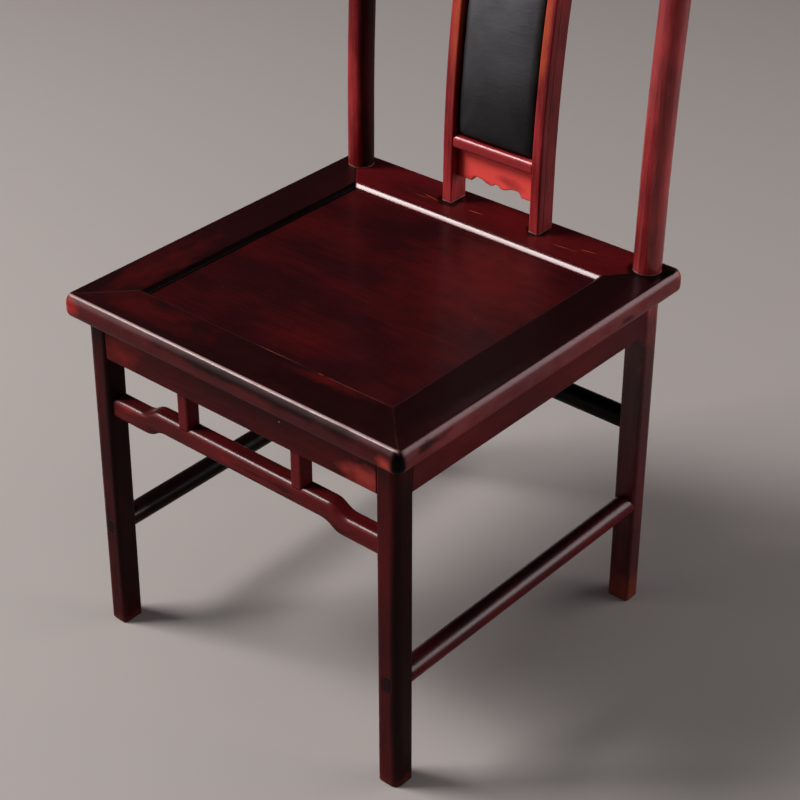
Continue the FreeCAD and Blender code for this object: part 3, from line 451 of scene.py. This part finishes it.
def stainedWood(tree, look, patterns, onTop, sideTone, topTone, figure):
    # one tone on the sides and one on top, both pushed up and down by blotches and streaks
    shares = {pattern: share * figure for pattern, share in look["toneShares"].items()}
    tone = addNode(tree, "Math", {
        "operation": "MULTIPLY_ADD", 0: onTop, 1: topTone - sideTone,
        2: sideTone - look["patternMiddle"] * sum(shares.values())})
    for pattern, share in shares.items():
        tone = addNode(tree, "Math", {
            "operation": "MULTIPLY_ADD", 0: patterns[pattern], 1: share, 2: tone})
    stain = addNode(tree, "ValToRGB", {"Fac": tone})
    fillRamp(stain.color_ramp, look["stain"])
    return stain


def wornEdges(tree, look, patch, wear):
    # along the edges the stain is rubbed to orange brown, in some patches only
    inward = addNode(tree, "AmbientOcclusion", look["edge"]).outputs["AO"]
    worn = addNode(tree, "Math", {
        "operation": "MULTIPLY_ADD", 0: inward, 1: -look["wearFall"],
        2: look["wearLevel"] + wear * look["wearOfBoard"]})
    uneven = addNode(tree, "Math", {"operation": "MULTIPLY", 0: worn, 1: patch})
    return addNode(tree, "MapRange", {"Value": uneven, **look["wornPatches"]})


def dustAndSheenBloom(tree, look, patch, onTop, dustAndSheenShare):
    # matt dust in the old lacquer of the sides, partly a painted pale sheen
    onSides = addNode(tree, "Math", {"operation": "MULTIPLY_ADD", 0: onTop, 1: -dustAndSheenShare, 2: dustAndSheenShare})
    uneven = addNode(tree, "MapRange", {"Value": patch, **look["dustAndSheenPatches"]})
    return addNode(tree, "Math", {"operation": "MULTIPLY", 0: onSides, 1: uneven})


def lacquerSpecks(tree, look, coords, place):
    # small chips in the lacquer, in some cells of a wide pattern
    shifted = addNode(tree, "Mapping", {"Vector": coords, "Location": place})
    cell = addNode(tree, "TexVoronoi", {"Vector": shifted, "Scale": perMetre(look["speckSpacing"])})
    spot = addNode(tree, "MapRange", {"Value": cell.outputs["Distance"], **look["speckSpot"]})
    lot = addNode(tree, "SeparateColor", {"Color": cell.outputs["Color"]})
    chosen = addNode(tree, "MapRange", {"Value": lot.outputs["Red"], **look["speckLot"]})
    return addNode(tree, "Math", {"operation": "MULTIPLY", 0: spot, 1: chosen})


def markOfWearAndPaintedLight(tree, look, coords, patch, middle, reach, turn, strength, ragged, fullShare):
    # full in its middle and gone at its reach, with a rim that the patches make ragged
    local = addNode(tree, "Mapping", {
        "vector_type": "TEXTURE", "Vector": coords, "Location": [c * mm for c in middle],
        "Rotation": (0, 0, math.radians(turn)), "Scale": [c * mm for c in reach]})
    away = addNode(tree, "VectorMath", {"operation": "LENGTH", 0: local}).outputs["Value"]
    rag = ragged * look["markRag"]
    nearer = addNode(tree, "Math", {
        "operation": "ADD", 0: away, 1: -look["patternMiddle"] * rag})
    rim = addNode(tree, "Math", {"operation": "MULTIPLY_ADD", 0: patch, 1: rag, 2: nearer})
    return addNode(tree, "MapRange", {
        "Value": rim, "From Min": fullShare, "From Max": 1.0, "To Min": strength, "To Max": 0.0})


def satinLacquer(tree, look, height, shine, bare):
    # whole on rounded noses, thinner on flat tops, worn on the sides and gone where it is bare
    nose = addNode(tree, "MapRange", {"Value": height, "To Min": shine, **look["noseCoat"]})
    flat = addNode(tree, "MapRange", {"Value": height, **look["flatCoat"]})
    whole = addNode(tree, "Math", {"operation": "MULTIPLY", 0: nose, 1: flat})
    left = addNode(tree, "MapRange", {"Value": bare, "To Min": 1.0, "To Max": 0.0})
    return addNode(tree, "Math", {"operation": "MULTIPLY", 0: whole, 1: left})


def woodRelief(tree, look, wave, pores, specks):
    # arrises softened by the lacquer, then pores and chips, then the waves of the plane
    chips = addNode(tree, "Math", {"operation": "MULTIPLY", 0: specks, 1: -look["speckDepth"]})
    relief = addNode(tree, "Math", {
        "operation": "MULTIPLY_ADD", 0: pores, 1: -look["poreDepth"], 2: chips})
    soft = addNode(tree, "Bevel", look["softEdge"])
    fine = addNode(tree, "Bump", {"Height": relief, "Normal": soft, **look["fineRelief"]})
    return addNode(tree, "Bump", {"Height": wave, "Normal": fine, **look["planeWaves"]})


def stainedRosewood(name, look, board, place):
    # material of one board: its own stretch of grain, tone of stain, wear and marks
    grain, sideTone, topTone, wear, dustAndSheenShare, shine, figure = board
    material = bpy.data.materials.new("redStainedRosewood_" + name)
    material.use_nodes = True
    tree = material.node_tree
    coords = addNode(tree, "TexCoord").outputs["Object"]
    normal = addNode(tree, "NewGeometry").outputs["Normal"]
    height = addNode(tree, "SeparateXYZ", {"Vector": normal}).outputs["Z"]
    onTop = addNode(tree, "MapRange", {"Value": height, **look["top"]})
    patterns = grainPatterns(tree, look, coords, grain, place)
    patch = patterns["patch"]
    pores = addNode(tree, "MapRange", {"Value": patterns["pore"], **look["poreDashes"]})
    specks = lacquerSpecks(tree, look, coords, place)

    # layers over the stain, each with its colour, its mask and the share of lacquer it takes away
    layers = [(look["grimeAndShade"], pores, look["poreBare"]),
              (look["rubbed"], wornEdges(tree, look, patch, wear), 0)]
    if dustAndSheenShare:
        layers.append((look["dustAndSheen"], dustAndSheenBloom(tree, look, patch, onTop, dustAndSheenShare), 0))
    layers.append((look["speck"], specks, 0))
    for kind, *form in marks.get(name, []):
        markColour, bareShare, fullShare = markKinds[kind]
        mask = markOfWearAndPaintedLight(tree, look, coords, patch, *form, fullShare)
        layers.append((markColour, mask, bareShare))
    # grime with painted shade, darkest in the inside corners and where parts meet
    corner = addNode(tree, "AmbientOcclusion", look["corner"]).outputs["AO"]
    cornerShadeMask = addNode(tree, "MapRange", {"Value": corner, **look["cornerGrimeAndShade"]})
    layers.append((look["grimeAndShade"], cornerShadeMask, look["cornerBare"]))

    colour = stainedWood(tree, look, patterns, onTop, sideTone, topTone, figure)
    bare = 0.0
    for layerColour, mask, bareShare in layers:
        colour = addNode(tree, "Mix", {
            "data_type": "RGBA", 0: mask, 6: colour, 7: linear(layerColour)}).outputs[2]
        if bareShare:
            bare = addNode(tree, "Math", {
                "operation": "MULTIPLY_ADD", 0: mask, 1: bareShare, 2: bare})
    relief = woodRelief(tree, look, patterns["wave"], pores, specks)
    setNode(tree, tree.nodes["Principled BSDF"], {
        "Base Color": colour,
        "Roughness": addNode(tree, "MapRange", {"Value": patch, **look["dullPatches"]}),
        "IOR": look["ior"],
        "Specular IOR Level": look["underShine"],
        "Coat Weight": satinLacquer(tree, look, height, shine, bare),
        "Coat Roughness": look["coatRoughness"],
        "Normal": relief,
        "Coat Normal": relief})
    return material


facets = {
    "weld": 0.004 * mm,      # corners that are nearer than this are one
    "flatAngle": 0.4,        # degrees, facets that meet flatter than this become one face
    "edgeAngle": 24,         # degrees, edges that turn more than this stay sharp
    "faceWeight": 80,        # how much the shading follows the larger faces
}


def dressBoard(piece, look, material):
    # the board keeps its shape; its facets are welded and shaded smooth up to its real edges
    piece.data.materials.clear()
    piece.data.materials.append(material)
    weld = piece.modifiers.new("weld", "WELD")
    weld.merge_threshold = look["weld"]
    flat = piece.modifiers.new("flat", "DECIMATE")
    flat.decimate_type = "DISSOLVE"
    flat.angle_limit = math.radians(look["flatAngle"])
    split = piece.modifiers.new("edges", "EDGE_SPLIT")
    split.split_angle = math.radians(look["edgeAngle"])
    smooth = piece.modifiers.new("shading", "WEIGHTED_NORMAL")
    smooth.weight = look["faceWeight"]


for index, (boardName, board) in enumerate(boards.items()):
    place = [step * index for step in rosewood["logStep"]]
    dressBoard(nodes[boardName], facets, stainedRosewood(boardName, rosewood, board, place))
print("boards finished:", len(boards))

# leather pad: thin black cowhide over foam, pulled over the edge and tucked in behind. To the eye
# it is a soft sheen with faint creases across, greyer towards its top, partly rubbed and partly a
# painted sheen, and black where it rolls over to the sides.
leather = {
    "fresh": "#0a0b0c",
    # grey of the rubbed top, partly a painted sheen
    "rubbed": "#6c6d73",
    "ior": 1.5,
    "shine": 0.30,
    "pebbles": {"feature": "DISTANCE_TO_EDGE", "Scale": perMetre(1.3)},  # of the hide
    "pebbleRim": {"From Max": 0.12},     # share of a pebble that slopes down to its rim
    "pebbleBump": {"Strength": 0.5, "Distance": 0.08 * mm},
    "creases": {"Scale": perMetre(7), "Detail": 5.0, "Distortion": 0.6},
    "creaseStretch": (0.22, 1, 1),   # creases run across the pad
    "creaseBump": {"Strength": 0.45, "Distance": 1.2 * mm},
    "patches": {"Scale": perMetre(30), "Detail": 4.0},
    # how far it is greyed, partly rubbed and partly a painted sheen, by height above the floor, by
    # patches and out to the rolled sides
    "rubAndSheenHeight": {"From Min": 585 * mm, "From Max": 780 * mm, "To Min": 0.06, "To Max": 0.9},
    "rubAndSheenPatches": {"From Min": 0.3, "From Max": 0.7, "To Min": 0.75, "To Max": 1.15},
    "roll": {"From Min": 44 * mm, "From Max": 52 * mm, "To Min": 1.0, "To Max": 0.0},
    # roughness, from its smoother to its duller patches
    "dullPatches": {"From Min": 0.3, "From Max": 0.7, "To Min": 0.56, "To Max": 0.68},
}
pad = {
    "sideGap": 0.8 * mm,
    "endGap": 0.8 * mm,
    "edge": 3.0 * mm,        # thickness at the sides before it is stuffed
    "crown": 11.5 * mm,      # thickness in the middle before it is stuffed
    "sideFall": 0.18,        # share of the crown that is lost towards the sides
    "rollWidth": 11 * mm,    # width of the rolled edge
    "rollPower": 2.2,        # how steeply the roll rises from the rim
    "columns": 24,
    "rows": 90,
    "layers": 4,
    "back": 0.2 * mm,        # kept free to the board behind
    "probe": (3 * mm, -1.0),  # x and y from which a ray looks for the board's front
    "voxel": 4 * mm,
    "pressure": 4.0,
    "steps": 20,
    "heldBack": 1.5 * mm,    # what lies this near to the board does not swell,
    "heldRim": 3 * mm,       # nor does the edge that is nailed down
    "mostMove": 3 * mm,
    "easing": 5,             # passes that ease out the puckers at the corners,
    "easingShare": 0.5,      # and how far each goes
    "clear": 0.7 * mm,       # kept free to the stiles and rails
}


def blackLeather(look):
    material = bpy.data.materials.new("blackGrainedCowhide")
    material.use_nodes = True
    tree = material.node_tree
    coords = addNode(tree, "TexCoord").outputs["Object"]
    split = addNode(tree, "SeparateXYZ", {"Vector": coords})
    patch = addNode(tree, "TexNoise", {"Vector": coords, **look["patches"]})

    # greyer towards its top, partly rubbed and partly a painted sheen, unevenly, and not where it
    # rolls over
    height = addNode(tree, "MapRange", {"Value": split.outputs["Z"], **look["rubAndSheenHeight"]})
    uneven = addNode(tree, "MapRange", {"Value": patch, **look["rubAndSheenPatches"]})
    share = addNode(tree, "Math", {
        "operation": "MULTIPLY", "use_clamp": True, 0: height, 1: uneven})
    out = addNode(tree, "Math", {"operation": "ABSOLUTE", 0: split.outputs["X"]})
    flat = addNode(tree, "MapRange", {"Value": out, **look["roll"]})
    rubbed = addNode(tree, "Math", {"operation": "MULTIPLY", 0: share, 1: flat})
    colour = addNode(tree, "Mix", {
        "data_type": "RGBA", 0: rubbed, 6: linear(look["fresh"]), 7: linear(look["rubbed"])})

    # relief: pebbles of the hide, then fine creases across
    pebble = addNode(tree, "TexVoronoi", {"Vector": coords, **look["pebbles"]})
    rim = addNode(tree, "MapRange", {"Value": pebble, **look["pebbleRim"]})
    grain = addNode(tree, "Bump", {"Height": rim, **look["pebbleBump"]})
    across = addNode(tree, "Mapping", {"Vector": coords, "Scale": look["creaseStretch"]})
    crease = addNode(tree, "TexNoise", {"Vector": across, **look["creases"]})
    relief = addNode(tree, "Bump", {"Height": crease, "Normal": grain, **look["creaseBump"]})
    setNode(tree, tree.nodes["Principled BSDF"], {
        "Base Color": colour.outputs[2],
        "Roughness": addNode(tree, "MapRange", {"Value": patch, **look["dullPatches"]}),
        "IOR": look["ior"],
        "Specular IOR Level": look["shine"],
        "Normal": relief})
    return material


def boardFrontFinder(look):
    # gives the Y of the board's front face at any height, so that the pad follows its curve
    board = nodes["back_board"]
    tree = BVHTree.FromPolygons([v.co for v in board.data.vertices],
                                [p.vertices for p in board.data.polygons])
    low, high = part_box("back_board")
    probeX, probeY = look["probe"]

    def frontAt(z):
        inside = min(max(z, low.z + mm), high.z - mm)
        return tree.ray_cast(Vector((probeX, probeY, inside)), Vector((0, 1, 0)))[0].y
    return frontAt


def padForm(look, frontAt, halfWidth, lowZ, highZ):
    # a block from -1 to 1, cut into a fine net and pushed to a flat back, rolled edges and a crown
    form = bmesh.new()
    bmesh.ops.create_cube(form, size=2)
    for axis, cuts in ((2, look["rows"]), (0, look["columns"]), (1, look["layers"])):
        along = [e for e in form.edges if abs(e.verts[0].co[axis] - e.verts[1].co[axis]) > 1]
        bmesh.ops.subdivide_edges(form, edges=along, cuts=cuts, use_grid_fill=True)
    halfWidth -= look["sideGap"]
    length = highZ - lowZ
    for vertex in form.verts:
        u, depth, v = vertex.co.x, (1 - vertex.co.y) / 2, (vertex.co.z + 1) / 2
        z = lowZ + length * v
        fromRim = min((1 - abs(u)) * halfWidth, min(v, 1 - v) * length)
        rise = 1 - (1 - min(fromRim / look["rollWidth"], 1)) ** look["rollPower"]
        swell = (look["crown"] - look["edge"]) * rise * (1 - look["sideFall"] * u * u)
        thick = look["edge"] + swell
        vertex.co = Vector((u * halfWidth, frontAt(z) - look["back"] - thick * depth, z))
    bmesh.ops.recalc_face_normals(form, faces=form.faces)
    return form


def stuff(piece, look, frontAt, halfWidth, lowZ, highZ):
    # even net, blown up by cloth pressure with its back held, each point moved only so far
    net = piece.modifiers.new("net", "REMESH")
    net.mode = "VOXEL"
    net.voxel_size = look["voxel"]
    graph = bpy.context.evaluated_depsgraph_get()
    even = bpy.data.meshes.new_from_object(piece.evaluated_get(graph))
    piece.modifiers.clear()
    piece.data = even
    start = [vertex.co.copy() for vertex in even.vertices]
    held = piece.vertex_groups.new(name="tucked")
    rim = look["heldRim"]
    held.add([i for i, co in enumerate(start)
              if co.y > frontAt(co.z) - look["heldBack"] or abs(co.x) > halfWidth - rim
              or not lowZ + rim < co.z < highZ - rim], 1.0, "REPLACE")
    cloth = piece.modifiers.new("stuffing", "CLOTH")
    cloth.settings.use_pressure = True
    cloth.settings.uniform_pressure_force = look["pressure"]
    cloth.settings.vertex_group_mass = "tucked"
    cloth.settings.effector_weights.gravity = 0
    for step in range(1, look["steps"] + 1):
        scene.frame_set(step)
    graph = bpy.context.evaluated_depsgraph_get()
    blown = bpy.data.meshes.new_from_object(piece.evaluated_get(graph))
    for vertex, old in zip(blown.vertices, start):
        move = vertex.co - old
        if move.length > look["mostMove"]:
            move *= look["mostMove"] / move.length
        x, y, z = old + move
        x = min(max(x, -halfWidth), halfWidth)
        z = min(max(z, lowZ), highZ)
        vertex.co = Vector((x, min(y, frontAt(z) - look["back"]), z))
    piece.modifiers.clear()
    piece.data = blown
    scene.frame_set(1)
    form = bmesh.new()
    form.from_mesh(blown)
    form.verts.ensure_lookup_table()
    tucked = {v.index for v in blown.vertices if v.groups}
    loose = [vertex for vertex in form.verts if vertex.index not in tucked]
    for easingPass in range(look["easing"]):
        bmesh.ops.smooth_vert(form, verts=loose, factor=look["easingShare"],
                              use_axis_x=True, use_axis_y=True, use_axis_z=True)
    form.to_mesh(blown)
    form.free()


def makePad(look, material):
    frontAt = boardFrontFinder(look)
    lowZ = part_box("splat_rail_lower")[1].z
    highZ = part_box("back_board")[1].z
    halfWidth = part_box("back_pad_leather")[1].x
    form = padForm(look, frontAt, halfWidth, lowZ + look["endGap"], highZ - look["endGap"])
    mesh = bpy.data.meshes.new("leather_pad")
    form.to_mesh(mesh)
    form.free()
    piece = bpy.data.objects.new("leather_pad", mesh)
    scene.collection.objects.link(piece)
    stuff(piece, look, frontAt, halfWidth, lowZ + look["clear"], highZ - look["clear"])
    piece.data.materials.clear()
    piece.data.materials.append(material)
    for polygon in piece.data.polygons:
        polygon.use_smooth = True
    fine = piece.modifiers.new("fine", "SUBSURF")
    fine.levels = 1
    fine.render_levels = 1
    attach(piece, "root")
    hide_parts("back_pad_leather", "back_pad_foam")


makePad(pad, blackLeather(leather))
print("leather pad made")
